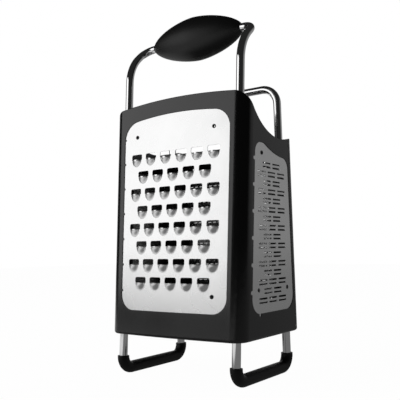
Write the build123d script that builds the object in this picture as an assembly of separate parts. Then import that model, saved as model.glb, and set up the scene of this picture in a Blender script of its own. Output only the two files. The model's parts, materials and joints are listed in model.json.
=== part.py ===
"""Box grater on two tube loops, with a grip above and a panel that slides up and off.

Millimetres. X runs along the front wall, Y from the front to the back, Z up.
The origin is on the table, under the middle of the body.
"""
import os
from math import atan, degrees, sqrt

from build123d import *

# Body: a moulded box that leans in towards its top
body_bottom = 34.9            # height of the lower edge over the table
body_height = 199.8           # of the front wall, at its middle
half_width = 67.3             # at the lower edge
half_depth = 48.8             # at the lower edge, at the corners
side_flare = 0.0135           # how far a side wall leans out, per mm of height
front_lean = 0.0588           # how far the front wall leans back, per mm
back_lean = 0.0514            # how far the back wall leans forward, per mm
wall = 2.6
front_corner_radius = 11.6
back_corner_radius = 9.0
bulge = 2.8                   # rise of the curved front and back over their corners
crown = 4.2                   # rise of the front wall's top edge in the middle
top_corner_radius = 12.0
bottom_round = 2.3            # of the lower edge
overrun = 1.0                 # how far a cutting form passes a face

# The top of each side sweeps down from the front wall and rises a little to the back
sweep_drop = 36.3             # from the front wall's top to its lowest point
sweep_radius = 54.5
sweep_reach = 64.8            # from the front to its lowest point
back_rise = 2.5               # of the back's top over the lowest point

# Bright tubes; their places are taken at the body's lower edge
tube_diameter = 7.0
tube_wall = 1.0
tube_inset = 9.52             # centre behind the side face
tube_splay = 0.0078           # how far a tube leans out, per mm
front_tube_inset = 7.96       # centre behind the front face
front_tube_lean = 0.0553
back_tube_inset = 8.8         # centre in front of the back face
back_tube_lean = 0.0393
post_wall = 2.6               # plastic round a front tube
push_gap = 0.05               # between a pressed piece and its bore
joint_rise = 55.1             # where the upper tubes meet the foot loops, over the lower edge
joint_gap = 0.1
joiner_length = 36.0
shoulder_rise = 39.3          # where the handle turns back, over the front wall
shoulder_radius = 37.5
elbow_radius = 11.0
arch_rise = 49.4              # over the lowest point of the sides
arch_radius = 14.5
foot_radius = 10.0

# Grip
grip_rise = 20.6              # axis over the handle's shoulder
grip_setback = 22.65          # axis behind the handle's shoulder
grip_end_gap = 10.9           # from the tube's corner to the end of the grip
grip_height = 38.9
grip_depth = 34.3
grip_fullness = 1.61          # exponent along the length
grip_roundness = 1.76         # exponent across it
grip_steps = 10
core_wall = 5.0               # hard plastic round the tube
core_inset = 13.2             # skin past each end of the core

# Rubber sleeves on the foot loops
sleeve_wall = 1.45
sleeve_top = 15.6
sleeve_flat = 0.4             # depth of the flat that stands on the table

# Sliding back panel
panel_wall = 2.2
panel_seam = 9.6              # seam on the side, in front of the back face
slide_gap = 0.3
base_rail = 4.6               # rail across the back, which the panel stands on
tongue_reach = 0.9
tongue_width = 1.8
tongue_inset = 5.4            # in front of the back face
post_width = 16.3
post_depth = 16.0

# Blades: steel sheets set into the walls
blade_thickness = 0.5
blade_recess = 0.35           # how far a sheet lies below the wall's face
blade_gap = 0.05
land = 4.0                    # plastic under the edge of a sheet
pin_radius = 1.65
pin_bore_radius = 1.2         # the pins are hollow stakes
pin_gap = 0.1
nub_radius = 1.1
nub_pitch = 21.9

# Front blade
front_blade_base = 21.1       # over the body's lower edge
front_blade_cap = 17.9        # under the front wall's top
front_blade_bow = 4.6         # rise of the top edge in the middle
front_blade_low_margin = 13.9    # to the side faces, at its bottom
front_blade_high_margin = 14.4   # to the side faces, at its top
front_blade_low_radius = 13.0
front_blade_high_radius = 16.0
front_window_low = 17.0       # from the blade's bottom
front_window_high = 18.8      # from the blade's top
front_pin_inset = 13.2
front_pin_low = 13.3
front_pin_high = 12.0
front_nub_low = 16.4          # lowest lug over the blade's bottom
front_nub_cap = 10.0          # kept clear under the blade's top
tooth_drop = 32.0             # cutting edge of the top row under the blade's top
tooth_pitch_x = 16.2
tooth_pitch_z = 15.1
tooth_width = 11.8
tooth_rise = 2.5
tooth_length = 7.0
tooth_mouth = 4.7             # opening above the cutting edge
tooth_corner_radius = 1.5

# Side blades
side_blade_base = 20.1        # over the body's lower edge
side_blade_shift = 2.1        # its middle behind the wall's own
side_blade_margin = 13.6      # to the front and back faces, less that shift, at its bottom
side_blade_taper = 0.0595
side_blade_sweep_radius = 83.0
side_blade_sweep_shift = 11.2    # its lowest point behind the wall's own
side_blade_low_cap = 16.0     # under the side's lowest point
side_blade_high_cap = 6.8     # under the side's lowest point, at its front
side_blade_radius = 12.0
side_blade_high_radius = 9.0
side_blade_nose_radius = 9.0
side_window_low = 5.6         # from the blade's bottom
side_window_margin = 11.6     # from the blade's edges
side_pin_inset = 11.55
side_pin_low = 18.3           # from the blade's bottom
side_pin_nose_inset = 18.6
side_pin_nose_rise = 0.9      # over the lowest point of the blade's top
tab_radius = 1.55             # of the small tabs that hold the sheet's front edge
tab_reach = 2.4               # past the sheet's edge
tab_low = 17.0                # lowest tab over the blade's bottom
tab_cap = 4.0                 # kept clear under the lowest point of the blade's top
tab_pitch = 21.2
tab_foot_inset = 13.0         # of the tab on the bottom edge, from the sheet's front
slit_drop = 4.6               # top row under the window's top
slit_shift = 1.45             # the pattern's middle behind the wall's own
slit_pitch_y = 16.0
slit_pitch_z = 7.267
slit_length = 13.0
slit_height = 1.4
slit_spacing = 3.2
ribbon_rise = 0.9

# Slicing blade on the left wall
slicer_rise = 62.6            # knife edge over the blade's bottom
slicer_side_gap = 0.8         # between its slot and the window's edge
slicer_gap = 5.0
knife_length = 9.0
knife_rise = 1.4
glide_pitch = 8.4
glide_radius = 1.6
glide_rise = 0.6
glide_margin = 5.0            # from the window's ends and from the slot

# Fine blade in the sliding panel
back_blade_base = 21.1        # over the body's lower edge
back_blade_cap = 12.9         # under the panel's top
back_blade_bow = 2.5          # rise of the top edge in the middle
back_blade_margin = 15.3      # to the side faces
back_blade_radius = 11.0
back_window_low = 9.6
back_window_high = 8.0
back_pin_inset = 12.0
back_pin_low = 4.8
back_pin_high = 4.0
fine_pitch_x = 7.8
fine_pitch_z = 7.2
fine_width = 4.4
fine_height = 1.8

body_top = body_bottom + body_height
side_top = body_top - sweep_drop
panel_top = side_top + back_rise
sweep_low_y = sweep_reach - half_depth
hull_top = body_top + 2 * overrun
side_reach = half_width + side_flare * (hull_top - body_bottom) + overrun
deep = half_depth + bulge + overrun

tube_radius = tube_diameter / 2
bore_radius = tube_radius - tube_wall
sleeve_radius = tube_radius + push_gap + sleeve_wall
loop_z = sleeve_radius - sleeve_flat
joint_z = body_bottom + joint_rise
shoulder_z = body_top + shoulder_rise
arch_z = side_top + arch_rise
post_inner_x = half_width - post_width
panel_bottom = body_bottom + base_rail

front_blade_bottom = body_bottom + front_blade_base
front_blade_top = body_top - front_blade_cap
front_window_bottom = front_blade_bottom + front_window_low
front_window_top = front_blade_top - front_window_high

side_blade_bottom = body_bottom + side_blade_base
side_blade_half = half_depth - side_blade_margin
side_blade_low = side_top - side_blade_low_cap
side_window_bottom = side_blade_bottom + side_window_low
side_window_top = side_blade_low - land
side_window_half = side_blade_half - side_window_margin

back_blade_bottom = body_bottom + back_blade_base
back_blade_top = panel_top - back_blade_cap
back_blade_half = half_width - back_blade_margin
back_window_bottom = back_blade_bottom + back_window_low
back_window_top = back_blade_top - back_window_high


def width_at(z):
    """Half width of the body at a height."""
    return half_width + side_flare * (z - body_bottom)


def front_at(z):
    """Y of the front wall's face at a height, at its corners."""
    return -half_depth + front_lean * (z - body_bottom)


def back_at(z):
    """Y of the back wall's face at a height, at its corners."""
    return half_depth - back_lean * (z - body_bottom)


def tube_x(z):
    """X of a tube's centre at a height."""
    return half_width - tube_inset + tube_splay * (z - body_bottom)


def front_tube(z, side=1):
    """A point on the centre of a front tube."""
    y = -half_depth + front_tube_inset + front_tube_lean * (z - body_bottom)
    return Vector(side * tube_x(z), y, z)


def back_tube(z, side=1):
    """A point on the centre of a back tube."""
    y = half_depth - back_tube_inset - back_tube_lean * (z - body_bottom)
    return Vector(side * tube_x(z), y, z)


front_blade_half_bottom = width_at(front_blade_bottom) - front_blade_low_margin
front_blade_half_top = width_at(front_blade_top) - front_blade_high_margin
elbow_x = tube_x(shoulder_z)
grip_y = front_tube(shoulder_z).Y + grip_setback
grip_z = shoulder_z + grip_rise
grip_half = elbow_x - grip_end_gap
core_radius = tube_radius + core_wall
core_length = 2 * (grip_half - core_inset)


def section(z, inset):
    """The body's plan at a height, drawn in by an inset."""
    x = width_at(z) - inset
    front = front_at(z) + inset
    back = back_at(z) - inset
    edges = [
        ThreePointArc((-x, front), (0, front - bulge), (x, front)),
        Line((x, front), (x, back)),
        ThreePointArc((x, back), (0, back + bulge), (-x, back)),
        Line((-x, back), (-x, front)),
    ]
    plan = make_face(edges)
    plan = fillet(plan.vertices().sort_by(Axis.Y)[:2], front_corner_radius - inset)
    plan = fillet(plan.vertices().sort_by(Axis.Y)[-2:], back_corner_radius - inset)
    return Plane.XY.offset(z) * plan


def hull(inset):
    """The body's outer form, drawn in by an inset."""
    return loft([section(body_bottom, inset).face(), section(hull_top, inset).face()], ruled=True)


def band(outer, inner):
    """The layer of the body's wall between two depths."""
    return hull(outer) - hull(inner)


def along_y(face, toward):
    """A form with an outline in X and Z, from the middle out through one wall."""
    return extrude(Plane.XZ * face, -toward * deep)


def along_x(face, toward):
    """A form with an outline in Y and Z, from the middle out through one side."""
    return extrude(Plane.YZ * face, toward * side_reach)


def leaning_box(x0, x1, inset0, inset1, z0, z1):
    """A box that leans with the back wall; its depths are measured from the back face."""
    plan = Pos((x0 + x1) / 2, back_at(z0) - (inset0 + inset1) / 2, z0)
    plan = plan * Rectangle(abs(x1 - x0), inset1 - inset0)
    return extrude(plan, z1 - z0, dir=Vector(0, -back_lean, 1))


def rod(start, end, radius):
    """A straight round bar between two points."""
    run = end - start
    return extrude(Plane(start, z_dir=run) * Circle(radius), run.length)


def pipe(points, radii, outer, inner):
    """A bent tube along straight runs joined by arcs."""
    path = FilletPolyline(*points, radius=radii)
    start = Plane(path @ 0, z_dir=path % 0)
    ring = start * (Circle(outer) - Circle(inner))
    return sweep(ring, path=path)


def bowed_outline(bottom, top, half_bottom, half_top, rise, low_radius, high_radius):
    """An outline for the front or back wall, with a bowed top edge."""
    edges = [
        Line((-half_bottom, bottom), (half_bottom, bottom)),
        Line((half_bottom, bottom), (half_top, top)),
        ThreePointArc((half_top, top), (0, top + rise), (-half_top, top)),
        Line((-half_top, top), (-half_bottom, bottom)),
    ]
    plan = make_face(edges)
    corners = plan.vertices().sort_by(Axis.Y)
    plan = fillet(corners[:2], low_radius)
    corners = plan.vertices().sort_by(Axis.Y)
    return fillet(corners[-2:], high_radius)


def front_blade_outline(margin):
    """The front blade's outline, drawn in by a margin."""
    return bowed_outline(
        front_blade_bottom + margin, front_blade_top - margin,
        front_blade_half_bottom - margin, front_blade_half_top - margin,
        front_blade_bow, front_blade_low_radius - margin, front_blade_high_radius - margin)


def back_blade_outline(margin):
    """The back blade's outline, drawn in by a margin."""
    return bowed_outline(
        back_blade_bottom + margin, back_blade_top - margin,
        back_blade_half - margin, back_blade_half - margin,
        back_blade_bow, back_blade_radius - margin, back_blade_radius - margin)


def side_blade_edge(z):
    """How far a side blade's edge lies from its middle at a height."""
    return side_blade_half - side_blade_taper * (z - side_blade_bottom)


def tab_heights():
    """Where the tabs on a side blade's front edge are."""
    first = side_blade_bottom + tab_low
    count = 1 + int((side_blade_low - tab_cap - first) / tab_pitch)
    return [first + i * tab_pitch for i in range(count)]


def side_outline(margin):
    """The outline of a side blade, drawn in by a margin."""
    bottom = side_blade_bottom + margin
    top = side_top - side_blade_high_cap - margin
    low = side_blade_half - margin
    high = low - side_blade_taper * (top - bottom)
    plan = make_face(Polyline((-low, bottom), (low, bottom), (high, top), (-high, top), close=True))
    centre_y = sweep_low_y + side_blade_sweep_shift - side_blade_shift
    centre_z = side_blade_low + side_blade_sweep_radius
    plan = plan - Pos(centre_y, centre_z) * Circle(side_blade_sweep_radius + margin)
    corners = plan.vertices().sort_by(Axis.Y)
    plan = fillet(corners[:2], side_blade_radius)
    upper = plan.vertices().filter_by_position(Axis.Y, side_window_top, body_top)
    plan = fillet(upper.sort_by(Axis.X)[-1], side_blade_high_radius)
    upper = plan.vertices().filter_by_position(Axis.Y, side_window_top, body_top)
    plan = fillet(upper.sort_by(Axis.X)[:2], side_blade_nose_radius)
    tab = Rot(Z=90) * SlotOverall(2 * (tab_reach - margin), 2 * (tab_radius - margin))
    plan += Pos(tab_foot_inset - side_blade_half, side_blade_bottom) * tab
    tab = SlotOverall(2 * (tab_reach - margin), 2 * (tab_radius - margin))
    plan += [Pos(-side_blade_edge(z), z) * tab for z in tab_heights()]
    return Pos(side_blade_shift, 0) * plan


def window(half, bottom, top):
    """A plain opening behind a blade."""
    plan = Pos(0, (bottom + top) / 2) * Rectangle(2 * half, top - bottom)
    return fillet(plan.vertices(), land)


def facing_front(x, z):
    """A frame on the front face: X across, Y out of the wall, Z up along it."""
    share = 1 - (x / width_at(z)) ** 2
    y = front_at(z) - bulge * share
    turn = degrees(atan(2 * bulge * x / width_at(z) ** 2))
    return Pos(x, y, z) * Rot(Z=turn) * Rot(X=-degrees(atan(front_lean))) * Rot(Z=180)


def facing_back(x, z):
    """The same frame on the back face."""
    share = 1 - (x / width_at(z)) ** 2
    y = back_at(z) + bulge * share
    turn = -degrees(atan(2 * bulge * x / width_at(z) ** 2))
    return Pos(x, y, z) * Rot(Z=turn) * Rot(X=degrees(atan(back_lean)))


def facing_side(y, z, side):
    """The same frame on a side face."""
    lean = degrees(atan(side_flare))
    return Pos(side * width_at(z), y, z) * Rot(Y=side * lean) * Rot(Z=-side * 90)


def peg(place, radius):
    """A round bar square to a face, from well outside it to well inside."""
    return place * Rot(X=-90) * Pos(0, 0, -2 * wall) * extrude(Circle(radius), 4 * wall)


def stake_bores(places):
    """The bores of the stakes that hold a blade."""
    return [peg(place, pin_bore_radius) for place in places]


def staggered(count, row, pitch):
    """Places along a row, every second row one copy shorter."""
    copies = count - row % 2
    return [(i - (copies - 1) / 2) * pitch for i in range(copies)]


def nub_heights(bottom, top):
    """Where the small lugs sit that overlap a blade's edge."""
    count = int((top - bottom) / nub_pitch)
    first = (bottom + top - (count - 1) * nub_pitch) / 2
    return [first + i * nub_pitch for i in range(count)]


front_window = window(front_blade_half_bottom - land, front_window_bottom, front_window_top)
side_window = Pos(side_blade_shift, 0) * window(side_window_half, side_window_bottom, side_window_top)
back_window = window(back_blade_half - land, back_window_bottom, back_window_top)


def front_pins():
    """Where the front blade's three pins are."""
    x = front_blade_half_bottom - front_pin_inset
    low = front_blade_bottom + front_pin_low
    high = front_blade_top - front_pin_high
    return [facing_front(x, low), facing_front(-x, high), facing_front(x, high)]


def side_pins(side):
    """Where a side blade's three pins are."""
    reach = side_blade_half - side_pin_inset
    low = side_blade_bottom + side_pin_low
    nose = side_blade_shift + side_pin_nose_inset - side_blade_half
    high = side_blade_low + side_pin_nose_rise
    low_pins = [facing_side(side_blade_shift + edge * reach, low, side) for edge in (-1, 1)]
    return low_pins + [facing_side(nose, high, side)]


def back_pins():
    """Where the back blade's four pins are."""
    x = back_blade_half - back_pin_inset
    heights = (back_blade_bottom + back_pin_low, back_blade_top - back_pin_high)
    return [facing_back(side * x, z) for side in (-1, 1) for z in heights]


def front_nubs():
    """Where the lugs along the front blade's left edge are."""
    slope = (front_blade_half_top - front_blade_half_bottom) / (front_blade_top - front_blade_bottom)
    first = front_blade_bottom + front_nub_low
    count = 1 + int((front_blade_top - front_nub_cap - first) / nub_pitch)
    rises = [front_nub_low + i * nub_pitch for i in range(count)]
    edge = front_blade_half_bottom
    return [facing_front(-edge - slope * rise, front_blade_bottom + rise) for rise in rises]


def back_nubs():
    """Where the lugs along the back blade's edges are."""
    heights = nub_heights(back_blade_bottom + back_blade_radius, back_blade_top - back_blade_radius)
    return [facing_back(side * back_blade_half, z) for z in heights for side in (-1, 1)]


def swept_top():
    """What the sweep of the sides takes away, seen from the side."""
    centre_z = side_top + sweep_radius
    over = hull_top + sweep_radius
    start = (sweep_low_y - sweep_radius, centre_z)
    rise_y = sweep_low_y + sqrt(sweep_radius ** 2 - (sweep_radius - back_rise) ** 2)
    outline = [
        ThreePointArc(start, (sweep_low_y, side_top), (rise_y, panel_top)),
        Polyline((rise_y, panel_top), (deep, panel_top), (deep, over), (start[0], over), start),
    ]
    return extrude(Plane.YZ * make_face(outline), side_reach, both=True)


def crowned_front():
    """The body seen from the front, with its bowed top edge and rounded corners."""
    shoulder = body_top - crown
    high = width_at(shoulder)
    low = width_at(body_bottom)
    outline = make_face([
        ThreePointArc((-high, shoulder), (0, body_top), (high, shoulder)),
        Line((high, shoulder), (low, body_bottom)),
        Line((low, body_bottom), (-low, body_bottom)),
        Line((-low, body_bottom), (-high, shoulder)),
    ])
    outline = fillet(outline.vertices().sort_by(Axis.Y)[-2:], top_corner_radius)
    return extrude(Plane.XZ * outline, deep, both=True)


body_form = (hull(0) & crowned_front()) - swept_top()
body_form = fillet(body_form.edges().group_by(Axis.Z)[0], bottom_round)


def panel_space(gap):
    """The room at the back that the sliding panel takes, grown by a gap."""
    x = half_width - panel_wall - gap
    back = half_depth - panel_wall - gap
    low = panel_bottom - gap
    block = leaning_box(-side_reach, side_reach, -bulge - overrun, panel_seam + gap, low, hull_top)
    plan = make_face([
        Line((-x, 0), (x, 0)),
        Line((x, 0), (x, back)),
        ThreePointArc((x, back), (0, back + bulge), (-x, back)),
        Line((-x, back), (-x, 0)),
    ])
    plan = fillet(plan.vertices().sort_by(Axis.Y)[-2:], back_corner_radius - panel_wall - gap)
    start = Pos(0, -back_lean * (low - body_bottom), low) * plan
    channel = extrude(start, hull_top - low, dir=Vector(0, -back_lean, 1))
    return block - channel


def tongues(grow):
    """The two ribs on the panel's flanges that hold it in the posts' grooves."""
    near = half_width - panel_wall - tongue_reach - grow
    far = half_width - panel_wall + overrun
    front = tongue_inset + tongue_width + grow
    back = tongue_inset - grow
    return [leaning_box(side * near, side * far, back, front, panel_bottom - grow, hull_top)
            for side in (-1, 1)]


def back_posts():
    """Two posts that the back tubes and the panel's flanges run in."""
    return [leaning_box(side * post_inner_x, side * side_reach, 0, post_depth, body_bottom, hull_top)
            for side in (-1, 1)]


def front_posts():
    """Two round posts for the front tubes."""
    radius = tube_radius + post_wall
    return [rod(front_tube(0, side), front_tube(hull_top, side), radius) for side in (-1, 1)]


def tube_bores():
    """The four bores that the tubes are pressed into."""
    radius = tube_radius + push_gap
    return [rod(line(0, side), line(hull_top, side), radius)
            for side in (-1, 1) for line in (front_tube, back_tube)]


def blade_seat(outline, places):
    """What is cut from a wall to let a blade in, less the pins that hold it."""
    seat = outline & band(-overrun, blade_recess + blade_thickness + blade_gap)
    return seat - [peg(place, pin_radius) for place in places]


def lugs(places):
    """Round lugs on a seat's edge that lie over the sheet."""
    down = Rot(X=-90) * Pos(0, 0, -blade_recess)
    return [place * down * extrude(Circle(nub_radius), blade_recess) for place in places]


def make_body_shell():
    """Front, left and right walls, corner posts and the rail under the panel."""
    cavity = hull(wall) - back_posts() - front_posts()
    shell = body_form - cavity
    shell -= panel_space(slide_gap)
    shell -= leaning_box(-post_inner_x, post_inner_x, -bulge, post_depth, panel_bottom - slide_gap, hull_top)
    shell -= tongues(slide_gap)
    shell -= tube_bores()
    shell -= blade_seat(along_y(front_blade_outline(0), -1), front_pins())
    shell -= along_y(front_window, -1)
    shell -= stake_bores(front_pins())
    for side in (-1, 1):
        shell -= blade_seat(along_x(side_outline(0), side), side_pins(side))
        shell -= along_x(side_window, side)
        shell -= stake_bores(side_pins(side))
    return shell + lugs(front_nubs())


def make_back_panel():
    """The sliding frame for the fine blade."""
    panel = panel_space(0) & body_form
    panel += [tongue & body_form for tongue in tongues(0)]
    panel -= blade_seat(along_y(back_blade_outline(0), 1), back_pins())
    panel -= along_y(back_window, 1)
    panel -= stake_bores(back_pins())
    return panel + lugs(back_nubs())


def sheet(outline, places):
    """A steel sheet in a wall, with holes for its pins."""
    plate = outline & band(blade_recess, blade_recess + blade_thickness)
    return plate - [peg(place, pin_radius + pin_gap) for place in places]


def scoop():
    """A raised tooth and the hole it leaves, on a face with Y out and Z up."""
    half = tooth_width / 2
    radius = (half ** 2 + tooth_rise ** 2) / (2 * tooth_rise)
    slope = degrees(atan(tooth_rise / tooth_length))
    middle = Pos(0, tooth_rise - radius, 0) * Rot(X=-slope) * Pos(0, 0, -tooth_length / 2)
    outer = middle * Cylinder(radius, 2 * tooth_length)
    inner = middle * Cylinder(radius - blade_thickness, 2 * tooth_length + overrun)
    below = Pos(0, 0, -tooth_length) * Box(2 * tooth_width, 4 * radius, 2 * tooth_length)
    outside = Pos(0, 2 * radius - blade_thickness / 2, 0)
    outside = outside * Box(2 * tooth_width, 4 * radius, 4 * tooth_length)
    layer = Box(2 * tooth_width, 3 * blade_thickness, 4 * tooth_length)
    slot = Pos(0, 0, tooth_mouth / 2)
    slot = slot * Box(tooth_width - 2 * blade_thickness, 3 * blade_thickness, tooth_mouth + push_gap)
    slot = fillet(slot.edges().filter_by(Axis.Y).sort_by(Axis.Z)[-2:], tooth_corner_radius)
    return (outer - inner) & below & outside, (inner & below & layer) + slot


def make_front_blade():
    """Extra coarse teeth, every second row one shorter."""
    plate = sheet(along_y(front_blade_outline(blade_gap), -1), front_pins())
    tooth, hole = scoop()
    first = front_blade_top - tooth_drop
    width = 2 * (front_blade_half_bottom - land)
    rows = 1 + int((first - front_window_bottom) / tooth_pitch_z)
    columns = 1 + int((width - tooth_width) / tooth_pitch_x)
    sink = Pos(0, -blade_recess, 0)
    places = [facing_front(x, first - row * tooth_pitch_z) * sink
              for row in range(rows) for x in staggered(columns, row, tooth_pitch_x)]
    plate -= [place * hole for place in places]
    return plate + [place * tooth for place in places]


def ribbon():
    """One raised strip and the opening under it, on a face with Y out and Z up."""
    half = slit_length / 2
    end = half + overrun
    low = -blade_thickness
    opening = Box(slit_length, 3 * blade_thickness, slit_spacing + slit_height)
    bow = make_face([
        ThreePointArc((-half, 0), (0, ribbon_rise), (half, 0)),
        Line((half, 0), (end, 0)),
        Line((end, 0), (end, low)),
        Line((end, low), (half, low)),
        ThreePointArc((half, low), (0, ribbon_rise + low), (-half, low)),
        Line((-half, low), (-end, low)),
        Line((-end, low), (-end, 0)),
        Line((-end, 0), (-half, 0)),
    ])
    return extrude(bow, (slit_spacing - slit_height) / 2, both=True), opening


def make_right_blade():
    """Ribbons with two slits each, every first row one shorter."""
    plate = sheet(along_x(side_outline(blade_gap), 1), side_pins(1))
    bow, opening = ribbon()
    first = side_window_top - slit_drop
    rows = 1 + int((first - side_window_bottom) / slit_pitch_z)
    columns = 1 + int((2 * side_window_half - slit_length) / slit_pitch_y)
    sink = Pos(0, -blade_recess, 0)
    places = [facing_side(slit_shift + y, first - row * slit_pitch_z, 1) * sink
              for row in range(rows) for y in staggered(columns, row + 1, slit_pitch_y)]
    plate -= [place * opening for place in places]
    return plate + [place * bow for place in places]


def glide(low, high, y):
    """A long shallow rib pressed out of the left blade."""
    length = high - low
    place = facing_side(y, (low + high) / 2, -1) * Pos(0, glide_rise - glide_radius - blade_recess, 0)
    bar = Cylinder(glide_radius, length) - Cylinder(glide_radius - blade_thickness, length)
    out = glide_radius - glide_rise - blade_thickness / 2
    outside = Pos(0, out + glide_radius, 0) * Box(4 * glide_radius, 2 * glide_radius, length)
    return place * (bar & outside)


def make_left_blade():
    """The slicing slot with its raised knife edge, and glide ribs over and under it."""
    plate = sheet(along_x(side_outline(blade_gap), -1), side_pins(-1))
    edge_z = side_blade_bottom + slicer_rise
    half = side_window_half - slicer_side_gap
    place = facing_side(side_blade_shift, edge_z, -1) * Pos(0, -blade_recess, 0)
    opening = Pos(0, 0, (slicer_gap - knife_length) / 2)
    plate -= place * opening * Box(2 * half, 3 * blade_thickness, slicer_gap + knife_length)
    low = -knife_length - overrun
    profile = Polyline((0, low), (knife_rise, 0), (knife_rise - blade_thickness, 0),
                       (-blade_thickness, low), close=True)
    plate += place * extrude(Plane.YZ * make_face(profile), half + overrun, both=True)
    count = int(2 * side_window_half / glide_pitch)
    under = (side_window_bottom + glide_margin, edge_z - knife_length - glide_margin)
    over = (edge_z + slicer_gap + glide_margin, side_window_top - glide_margin)
    for low, high in (under, over):
        plate += [glide(low, high, side_blade_shift + y) for y in staggered(count, 0, glide_pitch)]
    return plate


def make_back_blade():
    """Fine teeth in staggered rows."""
    plate = sheet(along_y(back_blade_outline(blade_gap), 1), back_pins())
    hole = Box(fine_width, 4 * blade_thickness, fine_height)
    rows = int((back_window_top - back_window_bottom) / fine_pitch_z)
    columns = int(2 * (back_blade_half - land) / fine_pitch_x)
    first = (back_window_bottom + back_window_top + (rows - 1) * fine_pitch_z) / 2
    return plate - [facing_back(x, first - row * fine_pitch_z) * hole
                    for row in range(rows) for x in staggered(columns, row, fine_pitch_x)]


def make_handle_rod():
    """Up from the front posts, back over the body and inwards to the grip."""
    low = joint_z + joint_gap / 2
    left, right = [
        [front_tube(low, side), front_tube(shoulder_z, side), Vector(side * elbow_x, grip_y, grip_z)]
        for side in (-1, 1)]
    radii = [shoulder_radius, elbow_radius, elbow_radius, shoulder_radius]
    return pipe(left + right[::-1], radii, tube_radius, bore_radius)


def make_arch_rod():
    """The low arch that joins the two back posts."""
    low = joint_z + joint_gap / 2
    points = [back_tube(low, -1), back_tube(arch_z, -1), back_tube(arch_z), back_tube(low)]
    return pipe(points, [arch_radius] * 2, tube_radius, bore_radius)


def foot_loop(side, top, outer, inner):
    """A tube from a front post down, along the table and up to a back post."""
    points = [front_tube(top, side), front_tube(loop_z, side), back_tube(loop_z, side), back_tube(top, side)]
    return pipe(points, [foot_radius] * 2, outer, inner)


def make_foot_tube(side):
    """One bright loop."""
    return foot_loop(side, joint_z - joint_gap / 2, tube_radius, bore_radius)


def make_foot_sleeve(side):
    """A rubber sleeve round the loop, with a flat underneath."""
    under = Pos(0, 0, -deep / 2) * Box(2 * side_reach, 2 * deep, deep)
    return foot_loop(side, sleeve_top, sleeve_radius, tube_radius + push_gap) - under


def make_tube_joiners():
    """Four pins inside the tubes, one at each post."""
    low = joint_z - joiner_length / 2
    high = joint_z + joiner_length / 2
    return [rod(line(low, side), line(high, side), bore_radius - push_gap)
            for side in (-1, 1) for line in (front_tube, back_tube)]


def grip_form():
    """The grip's outside: a full oval, a little less deep than it is high."""
    top = grip_height / 2
    points = []
    for i in range(grip_steps + 1):
        share = i / grip_steps
        reach = (1 - share ** grip_fullness) ** (1 / grip_roundness)
        points.append((grip_half * share, top * reach))
    arc = Spline(*points, tangents=((1, 0), (0, -1)))
    form = revolve(make_face([arc, Line((grip_half, 0), (0, 0)), Line((0, 0), (0, top))]), Axis.X)
    form += mirror(form, Plane.YZ)
    return Pos(0, grip_y, grip_z) * scale(form, by=(1, grip_depth / grip_height, 1))


def along_grip(radius, length):
    """A round form on the grip's axis."""
    return Pos(0, grip_y, grip_z) * Rot(Y=90) * Cylinder(radius, length)


def make_grip_core(side):
    """One half of the core; side is 1 for the upper one."""
    middle = Pos(0, grip_y, grip_z + side * (core_radius + joint_gap / 2))
    half = middle * Box(core_length, 2 * core_radius, 2 * core_radius)
    return (along_grip(core_radius, core_length) & half) - along_grip(tube_radius + push_gap, core_length)


def make_grip_cover():
    """The soft skin over the core."""
    form = grip_form() - along_grip(core_radius + push_gap, core_length + 2 * push_gap)
    return form - along_grip(tube_radius + push_gap, 2 * grip_half + overrun)


def save(name, shape):
    """Write one piece, or one group of like pieces, to its own file."""
    parts = shape if isinstance(shape, list) else [shape]
    solids = [solid for item in parts for solid in item.solids()]
    whole = Compound(children=solids) if len(solids) > 1 else solids[0]
    export_step(whole, f"parts/{name}.step")


os.makedirs("parts", exist_ok=True)
save("body_shell", make_body_shell())
save("back_panel", make_back_panel())
save("front_blade", make_front_blade())
save("right_blade", make_right_blade())
save("left_blade", make_left_blade())
save("back_blade", make_back_blade())
save("handle_rod", make_handle_rod())
save("arch_rod", make_arch_rod())
for hand, sign in (("left", -1), ("right", 1)):
    save(f"{hand}_foot_tube", make_foot_tube(sign))
    save(f"{hand}_foot_sleeve", make_foot_sleeve(sign))
save("tube_joiners", make_tube_joiners())
save("grip_core_upper", make_grip_core(1))
save("grip_core_lower", make_grip_core(-1))
save("grip_cover", make_grip_cover())
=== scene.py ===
"""Looks of the box grater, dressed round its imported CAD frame. Metres, in the frame's own axes."""
import json
import math

import bpy
from mathutils import Matrix, Vector
from mathutils.geometry import delaunay_2d_cdt


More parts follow.
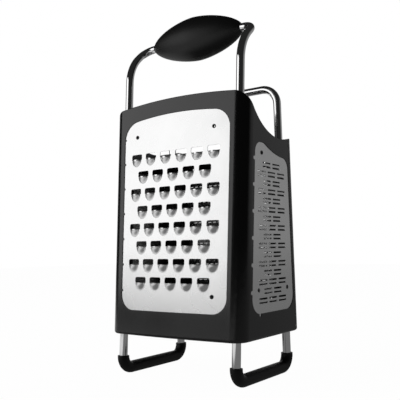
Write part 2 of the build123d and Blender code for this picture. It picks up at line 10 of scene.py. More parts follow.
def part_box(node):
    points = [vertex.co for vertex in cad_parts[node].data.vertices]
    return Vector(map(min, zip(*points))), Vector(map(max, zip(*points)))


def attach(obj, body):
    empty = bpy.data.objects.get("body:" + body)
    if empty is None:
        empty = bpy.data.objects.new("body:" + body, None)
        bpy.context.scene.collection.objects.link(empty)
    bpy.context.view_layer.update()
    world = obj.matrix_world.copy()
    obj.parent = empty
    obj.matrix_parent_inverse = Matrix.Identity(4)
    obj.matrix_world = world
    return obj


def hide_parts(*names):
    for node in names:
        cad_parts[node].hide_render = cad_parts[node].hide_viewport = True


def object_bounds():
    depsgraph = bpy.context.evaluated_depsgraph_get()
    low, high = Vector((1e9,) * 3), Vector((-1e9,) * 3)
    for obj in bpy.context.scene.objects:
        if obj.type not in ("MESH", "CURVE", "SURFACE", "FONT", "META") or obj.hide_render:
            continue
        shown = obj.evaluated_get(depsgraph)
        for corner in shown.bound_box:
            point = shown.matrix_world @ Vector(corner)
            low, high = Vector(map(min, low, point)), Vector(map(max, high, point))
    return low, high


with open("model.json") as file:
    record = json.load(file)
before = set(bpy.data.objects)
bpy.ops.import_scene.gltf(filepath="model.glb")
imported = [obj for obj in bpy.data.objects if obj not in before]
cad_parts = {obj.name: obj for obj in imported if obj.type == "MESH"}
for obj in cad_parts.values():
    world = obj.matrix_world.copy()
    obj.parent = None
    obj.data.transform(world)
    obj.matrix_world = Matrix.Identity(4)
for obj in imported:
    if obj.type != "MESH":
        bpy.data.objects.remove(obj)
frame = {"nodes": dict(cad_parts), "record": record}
cad_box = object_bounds()

# Walls of the body, whose outer faces the sheets follow
body_bottom = 0.0349
half_width = 0.0673           # at the lower edge
half_depth = 0.0488           # at the lower edge, at the corners
side_flare = 0.0135           # how far a side leans out, per metre of height
front_lean = 0.0588
back_lean = 0.0514
bulge = 0.0028                # rise of the curved front and back over their corners

# Steel sheets
sheet_recess = 0.00035        # how far a sheet lies below the wall's face
sheet_thickness = 0.0005
sheet_gap = 0.00005
sheet_grid = 0.004            # spacing of the mesh points inside a sheet and along its straight edges
merge_distance = 0.000002
outline_step = 0.0012         # spacing of the points along a curved edge
pin_hole_radius = 0.00175
pin_hole_points = 20
crease_angle = math.radians(34)
flat_weight = 80              # how far large faces lead the shading of a sheet
fill_tolerance = merge_distance / 4
fill_inside = 1               # the filling keeps what lies inside its loops

# Front sheet
front_bottom = 0.0560
front_top = 0.2168            # at its shoulders
front_bow = 0.0046            # rise of the top edge in the middle
front_half_bottom = 0.05368
front_half_top = 0.05536
front_low_radius = 0.013
front_high_radius = 0.016
front_pins = ((0.04048, 0.0693), (-0.04048, 0.2048), (0.04048, 0.2048))
tooth_counts = (6, 5)         # teeth in the first and in the second row
tooth_rows = (4, 4)           # how many rows there are of each
tooth_first_z = 0.1848        # cutting edge of the top row
tooth_pitch_x = 0.0162
tooth_pitch_z = 0.0151
tooth_width = 0.0118
tooth_rise = 0.0025
tooth_length = 0.0068
tooth_mouth = 0.0047          # opening above the cutting edge
tooth_corner = 0.0015
rim_softness = 1.5            # crowds the rings of a tooth at its rim
dome_power = 2.6              # flattens the top of a tooth and eases its rim
tooth_corner_steps = 4        # edges round a corner of its opening
tooth_sides = 28              # faces round the bowl of a tooth
tooth_rings = 12              # faces from its rim to its top

# Side sheets
side_bottom = 0.0550
side_shift = 0.0021           # the sheet's middle behind the wall's own
side_half_bottom = 0.0352
side_taper = 0.0595
side_top = 0.1916
side_sweep_radius = 0.083
side_sweep_y = 0.0272
side_sweep_low = 0.1824
side_low_radius = 0.012
side_high_radius = 0.009
side_pins = ((-0.02155, 0.0733), (0.02575, 0.0733), (-0.0145, 0.1833))
tab_radius = 0.0015
tab_reach = 0.00235           # how far a small tab stands past the sheet's edge
tab_first_z = 0.0720
tab_pitch = 0.0212
tab_count = 6
tab_foot_y = -0.0201          # the tab on the bottom edge
tab_steps = 12                # along its round end
ribbon_counts = (2, 3)
ribbon_rows = (8, 8)
ribbon_shift = 0.00145        # the pattern's middle behind the wall's own
ribbon_first_z = 0.1738
ribbon_pitch_y = 0.0160
ribbon_pitch_z = 0.007267
ribbon_length = 0.0130
ribbon_spacing = 0.0032       # between the middles of its two slits
slit_height = 0.0014
ribbon_rise = 0.0009
ribbon_corner = 0.0005
ribbon_corner_steps = 3       # edges round a corner of the opening
ribbon_across = 4             # faces across a strip
ribbon_along = 14             # faces along it
ribbon_ease = 1.5             # eases the ends of a strip into the sheet

# Fine sheet in the sliding panel
fine_bottom = 0.0560
fine_top = 0.1880
fine_bow = 0.0025
fine_half = 0.0520
fine_radius = 0.011
fine_pins = ((-0.040, 0.0608), (0.040, 0.0608), (-0.040, 0.184), (0.040, 0.184))
fine_counts = (17, 16)
fine_rows = (11, 11)
fine_first_z = 0.1768
fine_pitch_x = 0.0054
fine_pitch_z = 0.0050
fine_width = 0.0034
fine_length = 0.0024
fine_rise = 0.0009
fine_mouth = 0.0003
fine_corner = 0.0001
fine_sides = 12
fine_rings = 4

# Grip
grip_half = 0.0487
grip_height = 0.0389
grip_depth = 0.0343
grip_fullness = 1.61          # exponent along the length
grip_roundness = 1.76         # exponent across it
grip_tube_radius = 0.00352
grip_rings = 72
grip_sides = 64

# Finishes. A noise is its scale per metre and its detail; a bump is those two, its strength and its depth
noise_middle = (0.3, 0.7)     # the part of a noise that a roughness follows
full_metal = 1.0
abs_colour = "#0a0a0a"
abs_roughness = (0.17, 0.21)
abs_refraction = 1.56
abs_cloud = (22.0, 3.0)
abs_pebble = (1400.0, 2.0, 0.25, 0.00006)
abs_edge_radius = 0.0009      # of the moulding's softened edges
abs_edge_samples = 6
steel_colour = "#e4e4e4"
steel_roughness = (0.25, 0.29)
steel_cloud = (40.0, 3.0)
steel_grain = (2600.0, 2.0, 0.12, 0.00003)
grain_scale = (1, 1, 0.06)    # draws the grain out along the height
tube_colour = "#e8e8e8"
tube_roughness = (0.05, 0.09)
tube_haze = (300.0, 2.0)
sleeve_colour = "#060606"
sleeve_roughness = 0.55
sleeve_refraction = 1.42
sleeve_dust = (900.0, 3.0, 0.3, 0.00008)
skin_colour = "#141414"
skin_roughness = 0.46
skin_refraction = 1.43
skin_grain = (1100.0, 3.0, 0.3, 0.00008)
pin_colour = "#c4c4c4"
pin_roughness = 0.35
pin_marks = (800.0, 2.0, 0.2, 0.00003)
core_colour = "#1a1a1a"
core_roughness = 0.45
core_refraction = 1.49
core_fleck = (500.0, 2.0, 0.2, 0.00005)

# Camera, at the photograph's place
image_width = 400
focal_pixels = 617.91
camera_place = Vector((0.31351, -0.44715, 0.10735))
camera_yaw = -0.6162
camera_pitch = 0.0775
camera_roll = -0.0173
sensor_width = 36

# Studio
white = (1, 1, 1, 1)
floor_size = 6.0
floor_colour = "#f4f4f4"
floor_seen = 0.95             # share of the floor that shows plain white
floor_white = 1.03            # its level for the camera, so that the shaded share still adds up to white
floor_mirrored = 0.18         # its level in reflections
painted_light_mirrored = 0.78         # that of a pool of light painted on its front left, seen only in reflections
# the way from the middle to the painted pool of light
painted_light_way = (-0.85, -0.53, 0)
painted_light_near = (0.10, 0.28)     # how far along that way the painted pool of light starts, and is whole
painted_light_far = (1.10, 0.55)      # how far along it the painted pool of light has ended, and is still whole
key_place = Vector((-0.72, -0.88, 0.46))
key_size = (1.10, 0.80)
key_power = 3.6
fill_level = 0.20             # what the room gives to matt surfaces
dark_level = 0.02             # the studio before the object, in reflections
back_level = 0.27             # the studio behind it, near the ground
back_edge = (0.20, 0.55)      # how far back a direction points where that starts, and is whole
back_height = (0.60, 0.30)    # how high it points where that has ended, and is still whole
screen_edge = (0.82, 0.92)    # cosine to the camera's way where a white screen starts, and is whole
screen_level = 1.0
camera_level = 1.0            # what the camera sees of the room: white


def linear(code):
    """A hex colour as the four linear numbers that a socket takes."""
    values = [int(code[i:i + 2], 16) / 255 for i in (1, 3, 5)]
    return [v / 12.92 if v <= 0.04045 else ((v + 0.055) / 1.055) ** 2.4 for v in values] + [1.0]


def add(tree, kind, inputs=None, **settings):
    """Adds a node; an input takes a value, or the socket that feeds it."""
    made = tree.nodes.new(kind)
    for name, value in settings.items():
        setattr(made, name, value)
    for key, value in (inputs or {}).items():
        if isinstance(value, bpy.types.NodeSocket):
            tree.links.new(value, made.inputs[key])
        else:
            made.inputs[key].default_value = value
    return made


def calc(tree, operation, *values):
    """The result of a Math node."""
    return add(tree, "ShaderNodeMath", dict(enumerate(values)), operation=operation).outputs[0]


def blend(tree, share, low, high):
    """A number between two others."""
    return add(tree, "ShaderNodeMix", {0: share, 2: low, 3: high}, data_type="FLOAT").outputs[0]


def ramp(tree, value, ends, targets=(0, 1), kind="LINEAR"):
    """A number that runs from one target to the other while the value runs between two ends."""
    inputs = {"Value": value, "From Min": ends[0], "From Max": ends[1], "To Min": targets[0],
              "To Max": targets[1]}
    return add(tree, "ShaderNodeMapRange", inputs, interpolation_type=kind).outputs["Result"]


def dot(tree, direction, other):
    """How far one direction points along another."""
    made = add(tree, "ShaderNodeVectorMath", {0: direction, 1: other}, operation="DOT_PRODUCT")
    return made.outputs["Value"]


def noise(tree, place, scale, detail):
    """A noise over a piece."""
    return add(tree, "ShaderNodeTexNoise", {"Vector": place, "Scale": scale, "Detail": detail}).outputs["Fac"]


def clouded(tree, place, cloud, roughness):
    """A roughness that drifts between two values."""
    return ramp(tree, noise(tree, place, *cloud), noise_middle, roughness)


def bumped(tree, place, bump, **inputs):
    """A surface normal that follows a fine noise."""
    scale, detail, strength, depth = bump
    inputs.update(Height=noise(tree, place, scale, detail), Strength=strength, Distance=depth)
    return add(tree, "ShaderNodeBump", inputs).outputs["Normal"]


def new_material(name):
    """An empty node material, its tree, and the place on the piece that it covers."""
    material = bpy.data.materials.new(name)
    material.use_nodes = True
    tree = material.node_tree
    tree.nodes.clear()
    return material, tree, add(tree, "ShaderNodeTexCoord").outputs["Object"]


def close(tree, shader):
    """Joins a shader to the material's output."""
    add(tree, "ShaderNodeOutputMaterial", {"Surface": shader})


def coat(tree, colour, roughness, **inputs):
    """Gives a material its principled shader."""
    inputs.update({"Base Color": linear(colour), "Roughness": roughness})
    close(tree, add(tree, "ShaderNodeBsdfPrincipled", inputs).outputs["BSDF"])


def moulded_abs():
    """ABS, injection moulded in a spark-eroded tool: near black, satin, with a fine pebble."""
    material, tree, place = new_material("moulded_abs")
    soft = add(tree, "ShaderNodeBevel", {"Radius": abs_edge_radius}, samples=abs_edge_samples)
    pebble = bumped(tree, place, abs_pebble, Normal=soft.outputs["Normal"])
    rough = clouded(tree, place, abs_cloud, abs_roughness)
    coat(tree, abs_colour, rough, IOR=abs_refraction, Normal=pebble)
    return material


def satin_steel():
    """Stainless sheet with a fine rolled satin: pale, with a soft broad reflection."""
    material, tree, place = new_material("satin_steel")
    stretched = add(tree, "ShaderNodeMapping", {"Vector": place, "Scale": grain_scale})
    grain = bumped(tree, stretched.outputs["Vector"], steel_grain)
    rough = clouded(tree, place, steel_cloud, steel_roughness)
    coat(tree, steel_colour, rough, Metallic=full_metal, Normal=grain)
    return material


def polished_tube():
    """Stainless tube, drawn and polished bright: mirror-like, with the faintest haze."""
    material, tree, place = new_material("polished_tube")
    rough = clouded(tree, place, tube_haze, tube_roughness)
    coat(tree, tube_colour, rough, Metallic=full_metal)
    return material


def sleeve_rubber():
    """Moulded black rubber: matt, with a dry surface."""
    material, tree, place = new_material("sleeve_rubber")
    dust = bumped(tree, place, sleeve_dust)
    coat(tree, sleeve_colour, sleeve_roughness, IOR=sleeve_refraction, Normal=dust)
    return material


def soft_grip():
    """Thermoplastic elastomer with a soft-touch skin: black, matt, with a broad low sheen."""
    material, tree, place = new_material("soft_grip")
    grain = bumped(tree, place, skin_grain)
    coat(tree, skin_colour, skin_roughness, IOR=skin_refraction, Normal=grain)
    return material


def turned_steel():
    """Steel pins, turned from bar."""
    material, tree, place = new_material("turned_steel")
    marks = bumped(tree, place, pin_marks)
    coat(tree, pin_colour, pin_roughness, Metallic=full_metal, Normal=marks)
    return material


def core_plastic():
    """Hard black polypropylene under the grip's skin."""
    material, tree, place = new_material("core_plastic")
    fleck = bumped(tree, place, core_fleck)
    coat(tree, core_colour, core_roughness, IOR=core_refraction, Normal=fleck)
    return material


def width_at(z):
    """Half width of the body at a height."""
    return half_width + side_flare * (z - body_bottom)


def bow(x, z):
    """How far the curved wall lies behind its middle, and its slope there."""
    half = width_at(z)
    radius = (half ** 2 + bulge ** 2) / (2 * bulge)
    run = math.sqrt(radius ** 2 - x ** 2)
    return radius - run, x / run


def on_front(u, v, h):
    """A point on the front wall: u across, v up, h out of its face."""
    back, slope = bow(u, v)
    face = Vector((u, -half_depth + front_lean * (v - body_bottom) - bulge + back, v))
    return face + h * Vector((slope, -1, front_lean)).normalized()


def on_back(u, v, h):
    """A point on the back wall, seen from behind."""
    back, slope = bow(u, v)
    face = Vector((-u, half_depth - back_lean * (v - body_bottom) + bulge - back, v))
    return face + h * Vector((-slope, 1, back_lean)).normalized()


def on_right(u, v, h):
    """A point on the right wall, seen from the right."""
    return Vector((width_at(v), u, v)) + h * Vector((1, 0, -side_flare)).normalized()


def straight(start, end):
    """An edge of an outline that runs straight, with the sheet on its left."""
    start, end = Vector(start), Vector(end)
    way = (end - start).normalized()
    return {"start": start, "way": way, "left": Vector((-way.y, way.x))}


def curved(centre, radius, inside):
    """An edge that is part of a circle, with the sheet inside or outside of it."""
    return {"centre": Vector(centre), "radius": radius, "side": -1 if inside else 1}


def drawn_in(edge, margin):
    """The same edge, moved into the sheet."""
    if "centre" in edge:
        return dict(edge, radius=edge["radius"] + edge["side"] * margin)
    return dict(edge, start=edge["start"] + margin * edge["left"])


def foot(edge, point):
    """The nearest point of an edge."""
    if "centre" in edge:
        return edge["centre"] + edge["radius"] * (point - edge["centre"]).normalized()
    return edge["start"] + edge["way"].dot(point - edge["start"]) * edge["way"]


def crossing(a, b, near):
    """Where two edges cross, nearest to a point."""
    if "centre" in a:
        a, b = b, a
    if "centre" in b:
        middle = foot(a, b["centre"])
        reach = math.sqrt(b["radius"] ** 2 - (middle - b["centre"]).length_squared)
        return min((middle + side * reach * a["way"] for side in (-1, 1)), key=lambda p: (p - near).length)
    share = b["left"].dot(b["start"] - a["start"]) / b["left"].dot(a["way"])
    return a["start"] + share * a["way"]


def arc(centre, start, end):
    """Points from start to end round a centre, the short way."""
    first = (start - centre).angle_signed(Vector((1, 0)))
    turn = (end - centre).angle_signed(start - centre)
    radius = (start - centre).length
    steps = max(2, math.ceil(abs(turn) * radius / outline_step))
    angles = [first + turn * i / steps for i in range(steps + 1)]
    return [centre + radius * Vector((math.cos(t), math.sin(t))) for t in angles]


def outline(edges, corners, margin):
    """The points of a rounded outline; each corner ends an edge, and has a rough place and a radius."""
    edges = [drawn_in(edge, margin) for edge in edges]
    turns = []
    for i, (near, radius) in enumerate(corners):
        a, b = edges[i], edges[(i + 1) % len(edges)]
        middle = crossing(drawn_in(a, radius), drawn_in(b, radius), Vector(near))
        turns.append(arc(middle, foot(a, middle), foot(b, middle)))
    points = []
    for i, turn in enumerate(turns):
        points += turn
        edge = edges[(i + 1) % len(edges)]
        after = turns[(i + 1) % len(turns)][0]
        if "centre" in edge:
            points += arc(edge["centre"], turn[-1], after)[1:-1]
        else:
            steps = max(1, round((after - turn[-1]).length / sheet_grid))
            points += [turn[-1].lerp(after, j / steps) for j in range(1, steps)]
    return points


def bowed_outline(bottom, top, half_bottom, half_top, rise, low_radius, high_radius):
    """The outline of the front or the back sheet, whose top edge is bowed."""
    radius = (half_top ** 2 + rise ** 2) / (2 * rise)
    edges = [
        straight((-half_bottom, bottom), (half_bottom, bottom)),
        straight((half_bottom, bottom), (half_top, top)),
        curved((0, top + rise - radius), radius, True),
        straight((-half_top, top), (-half_bottom, bottom)),
    ]
    corners = [
        ((half_bottom, bottom), low_radius),
        ((half_top, top), high_radius),
        ((-half_top, top), high_radius),
        ((-half_bottom, bottom), low_radius),
    ]
    return outline(edges, corners, sheet_gap)


def side_outline():
    """The outline of a side sheet, whose top edge follows the swept wall."""
    half_top = side_half_bottom - side_taper * (side_top - side_bottom)
    centre = (side_sweep_y - side_shift, side_sweep_low + side_sweep_radius)
    edges = [
        straight((-side_half_bottom, side_bottom), (side_half_bottom, side_bottom)),
        straight((side_half_bottom, side_bottom), (half_top, side_top)),
        curved(centre, side_sweep_radius, False),
        straight((half_top, side_top), (-half_top, side_top)),
        straight((-half_top, side_top), (-side_half_bottom, side_bottom)),
    ]
    corners = [
        ((side_half_bottom, side_bottom), side_low_radius),
        ((half_top, side_sweep_low), side_high_radius),
        ((0, side_top), side_high_radius),
        ((-half_top, side_top), side_high_radius),
        ((-side_half_bottom, side_bottom), side_low_radius),
    ]
    return [point + Vector((side_shift, 0)) for point in outline(edges, corners, sheet_gap)]


def tab(middle, way):
    """A small round tab that stands past a sheet's edge."""
    way = Vector(way)
    across = Vector((-way.y, way.x)) * tab_radius
    centre = Vector(middle) + (tab_reach - tab_radius) * way
    foot_middle = Vector(middle) - tab_radius * way
    turns = [math.pi * (i / tab_steps - 0.5) for i in range(tab_steps + 1)]
    round_end = [centre + math.cos(t) * tab_radius * way + math.sin(t) * across for t in turns]
    return [foot_middle - across] + round_end + [foot_middle + across]


def side_tabs():
    """The tabs on a side sheet's front edge, and one on its bottom edge."""
    tabs = [tab((tab_foot_y, side_bottom), (0, -1))]
    for i in range(tab_count):
        z = tab_first_z + i * tab_pitch
        tabs.append(tab((side_shift - side_half_bottom + side_taper * (z - side_bottom), z), (-1, 0)))
    return tabs


def circle(middle, radius, count):
    """Points round a circle."""
    turns = [2 * math.pi * i / count for i in range(count)]
    return [Vector(middle) + radius * Vector((math.cos(t), math.sin(t))) for t in turns]


def quarter_turn(steps):
    """The angles of a quarter turn."""
    return [math.pi / 2 / steps * i for i in range(steps + 1)]


def staggered(counts, rows, pitch_x, pitch_z, first_z):
    """Places of a pattern whose rows alternate between two counts."""
    places = []
    for which in (0, 1):
        for row in range(rows[which]):
            z = first_z - (2 * row + which) * pitch_z
            places += [Vector(((i - (counts[which] - 1) / 2) * pitch_x, z)) for i in range(counts[which])]
    return places


def tooth_cell(width, length, rise, mouth, corner, sides, rings):
    """A punched tooth: its rim on the sheet, and the raised dome under its cutting edge."""
    half = width / 2
    rim = []
    for side in (1, -1):
        middle = Vector((side * (half - corner), mouth - corner))
        bend = [middle + corner * Vector((side * math.cos(t), math.sin(t)))
                for t in quarter_turn(tooth_corner_steps)]
        rim += bend[::side]
    bowl = [Vector((half * math.cos(t), length * math.sin(t)))
            for t in (math.pi * (1 + i / sides) for i in range(sides + 1))]
    rim += bowl
    points, faces = [], []
    for ring in range(rings):
        share = 1 - (ring / rings) ** rim_softness
        height = rise * (1 - share ** dome_power) ** dome_power
        points += [(share * p.x, share * p.y, height) for p in bowl]
    points.append((0, 0, rise))
    for ring in range(rings - 1):
        a, b = ring * (sides + 1), (ring + 1) * (sides + 1)
        faces += [(a + i, a + i + 1, b + i + 1, b + i) for i in range(sides)]
    last = (rings - 1) * (sides + 1)
    faces += [(last + i, last + i + 1, len(points) - 1) for i in range(sides)]
    return rim, points, faces


def ribbon_cell():
    """A raised strip with a slit on each side: the rim of its opening, and the strip."""
    half, strip = ribbon_length / 2, (ribbon_spacing - slit_height) / 2
    tall = (ribbon_spacing + slit_height) / 2
    levels = [strip * (2 * i / ribbon_across - 1) for i in range(ribbon_across + 1)]
    turns = quarter_turn(ribbon_corner_steps)
    rim = []
    for side in (1, -1):
        middle = Vector((side * (half - ribbon_corner), side * (tall - ribbon_corner)))
        rim += [Vector((side * half, side * level)) for level in levels]
        rim += [middle + side * ribbon_corner * Vector((math.cos(t), math.sin(t))) for t in turns]
        middle.x = -middle.x
        rim += [middle + side * ribbon_corner * Vector((-math.sin(t), math.cos(t))) for t in turns]
    points, faces = [], []
    for i in range(ribbon_along + 1):
        share = 2 * i / ribbon_along - 1
        lift = ribbon_rise * math.cos(share * math.pi / 2) ** ribbon_ease if abs(share) < 1 else 0
        points += [(share * half, level, lift) for level in levels]
    for i in range(ribbon_along):
        a, b = i * (ribbon_across + 1), (i + 1) * (ribbon_across + 1)
        faces += [(a + j, b + j, b + j + 1, a + j + 1) for j in range(ribbon_across)]
    return rim, points, faces


def mesh_object(name, points, faces):
    """An object of a new mesh."""
    mesh = bpy.data.meshes.new(name)
    mesh.from_pydata([tuple(p) for p in points], [], faces)
    mesh.validate()
    made = bpy.data.objects.new(name, mesh)
    bpy.context.scene.collection.objects.link(made)
    return made


def flat_sheet(name, rim, tabs, holes):
    """A flat mesh inside a rim and its tabs, with holes, filled with evenly spread points."""
    points, faces = [], []
    for loop in [rim] + tabs + holes:
        faces.append(list(range(len(points), len(points) + len(loop))))
        points += loop
    low = [min(p[i] for p in rim) for i in (0, 1)]
    high = [max(p[i] for p in rim) for i in (0, 1)]
    counts = [int((high[i] - low[i]) / sheet_grid) for i in (0, 1)]
    points += [Vector((low[0] + sheet_grid * (i + 0.5), low[1] + sheet_grid * (j + 0.5)))
               for i in range(counts[0]) for j in range(counts[1])]
    filled = delaunay_2d_cdt(points, [], faces, fill_inside, fill_tolerance, True)
    places, triangles, origins = filled[0], filled[2], filled[5]
    kept = [t for t, origin in zip(triangles, origins) if origin and max(origin) <= len(tabs)]
    used = sorted({i for t in kept for i in t})
    number = {old: new for new, old in enumerate(used)}
    return mesh_object(name, [(places[i].x, places[i].y, 0) for i in used],
                       [tuple(number[i] for i in t) for t in kept])


def pattern_tree():
    """A node tree that sets copies of a cell in staggered rows and welds them into a sheet."""
    tree = bpy.data.node_groups.new("punched_rows", "GeometryNodeTree")
    face = tree.interface
    face.new_socket("Geometry", in_out="INPUT", socket_type="NodeSocketGeometry")
    kinds = {
        "Cell": "Object", "Finish": "Material", "First Count": "Int", "Second Count": "Int",
        "First Rows": "Int", "Second Rows": "Int", "Pitch Across": "Float", "Pitch Up": "Float",
        "Shift": "Float", "First Height": "Float", "Weld": "Float",
    }
    for name, kind in kinds.items():
        face.new_socket(name, in_out="INPUT", socket_type="NodeSocket" + kind)
    face.new_socket("Geometry", in_out="OUTPUT", socket_type="NodeSocketGeometry")
    given = add(tree, "NodeGroupInput").outputs
    double = calc(tree, "MULTIPLY", given["Pitch Up"], 2.0)
    grids = add(tree, "GeometryNodeJoinGeometry")
    for which, label in enumerate(("First", "Second")):
        count, rows = given[label + " Count"], given[label + " Rows"]
        wide = calc(tree, "MULTIPLY", calc(tree, "SUBTRACT", count, 1.0), given["Pitch Across"])
        tall = calc(tree, "MULTIPLY", calc(tree, "SUBTRACT", rows, 1.0), double)
        grid = add(tree, "GeometryNodeMeshGrid", {
            "Size X": wide, "Size Y": tall, "Vertices X": count, "Vertices Y": rows})
        middle = calc(tree, "MULTIPLY_ADD", tall, -0.5, given["First Height"])
        level = calc(tree, "MULTIPLY_ADD", given["Pitch Up"], -float(which), middle)
        shift = add(tree, "ShaderNodeCombineXYZ", {"X": given["Shift"], "Y": level})
        moved = add(tree, "GeometryNodeTransform", {
            "Geometry": grid.outputs["Mesh"], "Translation": shift.outputs["Vector"]})
        tree.links.new(moved.outputs["Geometry"], grids.inputs["Geometry"])
    cell = add(tree, "GeometryNodeObjectInfo", {"Object": given["Cell"], "As Instance": True})
    copies = add(tree, "GeometryNodeInstanceOnPoints", {
        "Points": grids.outputs["Geometry"], "Instance": cell.outputs["Geometry"]})
    real = add(tree, "GeometryNodeRealizeInstances", {"Geometry": copies.outputs["Instances"]})
    both = add(tree, "GeometryNodeJoinGeometry", {"Geometry": given["Geometry"]})
    tree.links.new(real.outputs["Geometry"], both.inputs["Geometry"])
    welded = add(tree, "GeometryNodeMergeByDistance", {
        "Geometry": both.outputs["Geometry"], "Distance": given["Weld"]})
    whole = add(tree, "GeometryNodeRealizeInstances", {"Geometry": welded.outputs["Geometry"]})
    done = add(tree, "GeometryNodeSetMaterial", {
        "Geometry": whole.outputs["Geometry"], "Material": given["Finish"]})
    add(tree, "NodeGroupOutput", {"Geometry": done.outputs["Geometry"]})
    return tree


def plain_mesh(thing):
    """Turns an object and its modifiers into one plain mesh."""
    graph = bpy.context.evaluated_depsgraph_get()
    mesh = bpy.data.meshes.new_from_object(thing.evaluated_get(graph))
    thing.modifiers.clear()
    thing.data = mesh
    mesh.name = thing.name
    return thing


def shaded(thing):
    """Smooth faces, with the creases kept."""
    thing.data.shade_smooth()
    thing.data.set_sharp_from_angle(angle=crease_angle)


def punched_sheet(name, rim, tabs, pins, cell, pattern, shift, place, finish, tree):
    """A steel sheet with a pattern of cells, bent onto its wall."""
    cell_rim, points, faces = cell
    counts, rows, pitch_x, pitch_z, first_z = pattern
    spots = staggered(*pattern)
    holes = [[spot + Vector((shift, 0)) + p for p in cell_rim] for spot in spots]
    holes += [circle(pin, pin_hole_radius, pin_hole_points) for pin in pins]
    sheet = flat_sheet(name, rim, tabs, holes)
    model = mesh_object(name + "_cell", points, faces)
    rule = sheet.modifiers.new("punched_rows", "NODES")
    rule.node_group = tree
    given = {
        "Cell": model, "Finish": finish, "First Count": counts[0], "Second Count": counts[1],
        "First Rows": rows[0], "Second Rows": rows[1], "Pitch Across": pitch_x, "Pitch Up": pitch_z,
        "Shift": shift, "First Height": first_z, "Weld": merge_distance,
    }
    for item in tree.interface.items_tree:
        if item.in_out == "INPUT" and item.name in given:
            rule[item.identifier] = given[item.name]
    plain_mesh(sheet)
    bpy.data.objects.remove(model)
    thick = sheet.modifiers.new("thickness", "SOLIDIFY")
    thick.thickness = sheet_thickness
    thick.offset = -1
    thick.use_even_offset = True
    plain_mesh(sheet)
    for vertex in sheet.data.vertices:
        vertex.co = place(vertex.co.x, vertex.co.y, vertex.co.z - sheet_recess)
    shaded(sheet)
    even = sheet.modifiers.new("even_flats", "WEIGHTED_NORMAL")
    even.keep_sharp = True
    even.weight = flat_weight
    return plain_mesh(sheet)


def make_front_sheet(finish, tree):
    """Extra coarse teeth, rows of six and five."""
    rim = bowed_outline(front_bottom, front_top, front_half_bottom, front_half_top, front_bow,
                        front_low_radius, front_high_radius)
    cell = tooth_cell(tooth_width, tooth_length, tooth_rise, tooth_mouth, tooth_corner, tooth_sides,
                      tooth_rings)
    pattern = (tooth_counts, tooth_rows, tooth_pitch_x, tooth_pitch_z, tooth_first_z)
    sheet = punched_sheet("coarse_sheet", rim, [], front_pins, cell, pattern, 0, on_front, finish, tree)
    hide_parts("front_blade")
    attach(sheet, "frame")


def make_ribbon_sheet(finish, tree):
    """Ribbons with two slits each, rows of two and three."""
    pattern = (ribbon_counts, ribbon_rows, ribbon_pitch_y, ribbon_pitch_z, ribbon_first_z)
    sheet = punched_sheet("ribbon_sheet", side_outline(), side_tabs(), side_pins, ribbon_cell(), pattern,
                          ribbon_shift, on_right, finish, tree)
    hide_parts("right_blade")
    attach(sheet, "frame")


def make_fine_sheet(finish, tree):
    """Fine teeth in staggered rows, in the sliding panel."""
    rim = bowed_outline(fine_bottom, fine_top, fine_half, fine_half, fine_bow, fine_radius, fine_radius)
    cell = tooth_cell(fine_width, fine_length, fine_rise, fine_mouth, fine_corner, fine_sides, fine_rings)
    pattern = (fine_counts, fine_rows, fine_pitch_x, fine_pitch_z, fine_first_z)
    sheet = punched_sheet("fine_sheet", rim, [], fine_pins, cell, pattern, 0, on_back, finish, tree)
    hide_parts("back_blade")
    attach(sheet, "panel")


def make_grip(finish):
    """The soft skin: a full oval, closed round the tube at each end."""
    low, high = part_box("grip_cover")
    middle = (low + high) / 2
    tip = grip_tube_radius / (grip_height / 2)
    end = (1 - tip ** grip_roundness) ** (1 / grip_fullness)
    points, faces = [], []
    for ring in range(grip_rings + 1):
        share = end * math.sin(math.pi / 2 * (2 * ring / grip_rings - 1))
        reach = (1 - abs(share) ** grip_fullness) ** (1 / grip_roundness)
        tall = max(reach * grip_height / 2, grip_tube_radius)
        deep = max(reach * grip_depth / 2, grip_tube_radius)
        for side in range(grip_sides):
            turn = 2 * math.pi * side / grip_sides
            points.append(middle + Vector((share * grip_half, deep * math.cos(turn), tall * math.sin(turn))))
    for ring in range(grip_rings):
        for side in range(grip_sides):
            a, b = ring * grip_sides, (ring + 1) * grip_sides
            after = (side + 1) % grip_sides
            faces.append((a + side, a + after, b + after, b + side))
    last = grip_rings * grip_sides
    faces.append(tuple(reversed(range(grip_sides))))
    faces.append(tuple(range(last, last + grip_sides)))
    grip = mesh_object("grip_skin", points, faces)
    grip.data.materials.append(finish)
    shaded(grip)
    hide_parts("grip_cover")
    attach(grip, "frame")


def dress_frame(finishes):
    """Gives each CAD node its finish."""
    for name, thing in frame["nodes"].items():
        slot = next(part["material_slot"] for part in frame["record"]["subparts"] if part["node"] == name)
        thing.data.materials.clear()
        thing.data.materials.append(finishes[slot])


def make_floor():
    """White for the camera, with a faint shadow; dark in reflections, with a painted pool of light on its
    front left.
    """
    half = floor_size / 2
    floor = mesh_object("floor", [(-half, -half, 0), (half, -half, 0), (half, half, 0), (-half, half, 0)],
                        [(0, 1, 2, 3)])
    material, tree, place = new_material("floor_card")
    path = add(tree, "ShaderNodeLightPath").outputs
    share = calc(tree, "MULTIPLY_ADD", path["Is Camera Ray"], floor_seen, path["Is Glossy Ray"])
    # A pool of light painted into the floor's glow on its front left, seen only in reflections
    along = dot(tree, place, painted_light_way)
    near, far = [ramp(tree, along, ends, kind="SMOOTHSTEP") for ends in (painted_light_near, painted_light_far)]
    mirrored = blend(tree, calc(tree, "MULTIPLY", near, far), floor_mirrored, painted_light_mirrored)
    strength = blend(tree, path["Is Glossy Ray"], floor_white, mirrored)
    card = add(tree, "ShaderNodeBsdfDiffuse", {"Color": linear(floor_colour)})
    glow = add(tree, "ShaderNodeEmission", {"Color": white, "Strength": strength})
    both = add(tree, "ShaderNodeMixShader", {0: share, 1: card.outputs[0], 2: glow.outputs[0]})
    close(tree, both.outputs[0])
    floor.data.materials.append(material)


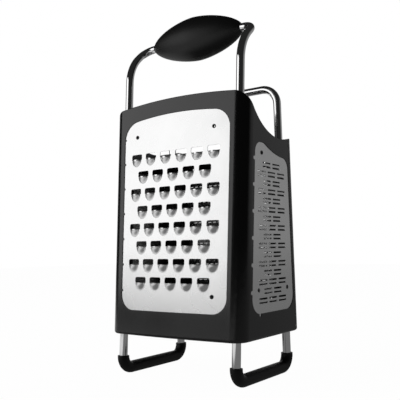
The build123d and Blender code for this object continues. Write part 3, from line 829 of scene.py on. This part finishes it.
def camera_way():
    """The way that the camera looks."""
    flat = math.cos(camera_pitch)
    return Vector((math.sin(camera_yaw) * flat, math.cos(camera_yaw) * flat, math.sin(camera_pitch)))


def make_world():
    """White for the camera; dark in reflections, with a white screen and a low grey strip at the back."""
    world = bpy.data.worlds.new("studio")
    world.use_nodes = True
    tree = world.node_tree
    tree.nodes.clear()
    path = add(tree, "ShaderNodeLightPath").outputs
    way = add(tree, "ShaderNodeTexCoord").outputs["Generated"]
    part = add(tree, "ShaderNodeSeparateXYZ", {"Vector": way}).outputs
    strip = calc(tree, "MULTIPLY", ramp(tree, part["Y"], back_edge), ramp(tree, part["Z"], back_height))
    grey = blend(tree, strip, dark_level, back_level)
    screen = ramp(tree, dot(tree, way, camera_way()), screen_edge, kind="SMOOTHSTEP")
    mirrored = blend(tree, screen, grey, screen_level)
    sheen = calc(tree, "MAXIMUM", path["Is Glossy Ray"], path["Is Transmission Ray"])
    room = blend(tree, sheen, fill_level, mirrored)
    level = blend(tree, path["Is Camera Ray"], room, camera_level)
    glow = add(tree, "ShaderNodeBackground", {"Color": white, "Strength": level})
    add(tree, "ShaderNodeOutputWorld", {"Surface": glow.outputs[0]})
    bpy.context.scene.world = world


def make_lamp():
    """One large soft lamp on the front left."""
    lamp = bpy.data.lights.new("key", "AREA")
    lamp.shape = "RECTANGLE"
    lamp.size, lamp.size_y = key_size
    lamp.energy = key_power
    key = bpy.data.objects.new("key", lamp)
    bpy.context.scene.collection.objects.link(key)
    aim = (cad_box[0] + cad_box[1]) / 2 - key_place
    key.matrix_world = Matrix.Translation(key_place) @ aim.to_track_quat("-Z", "Y").to_matrix().to_4x4()


def make_camera():
    """The camera at the photograph's place."""
    data = bpy.data.cameras.new("camera")
    data.sensor_width = sensor_width
    data.lens = focal_pixels / image_width * sensor_width
    camera = bpy.data.objects.new("camera", data)
    bpy.context.scene.collection.objects.link(camera)
    ahead = camera_way()
    level = Vector((math.cos(camera_yaw), -math.sin(camera_yaw), 0))
    over = level.cross(ahead)
    right = math.cos(camera_roll) * level + math.sin(camera_roll) * over
    up = math.cos(camera_roll) * over - math.sin(camera_roll) * level
    camera.matrix_world = Matrix.Translation(camera_place) @ Matrix((right, up, -ahead)).transposed().to_4x4()
    bpy.context.scene.camera = camera


def main():
    """Dresses the frame and sets the studio round it."""
    steel = satin_steel()
    grip = soft_grip()
    finishes = {
        "body_plastic": moulded_abs(), "blade_steel": steel, "bright_tube": polished_tube(),
        "sleeve_rubber": sleeve_rubber(), "pin_steel": turned_steel(), "core_plastic": core_plastic(),
        "grip_skin": grip,
    }
    dress_frame(finishes)
    tree = pattern_tree()
    make_front_sheet(steel, tree)
    make_ribbon_sheet(steel, tree)
    make_fine_sheet(steel, tree)
    make_grip(grip)
    make_floor()
    make_world()
    make_lamp()
    make_camera()
    bpy.context.scene.view_settings.view_transform = "Standard"


main()
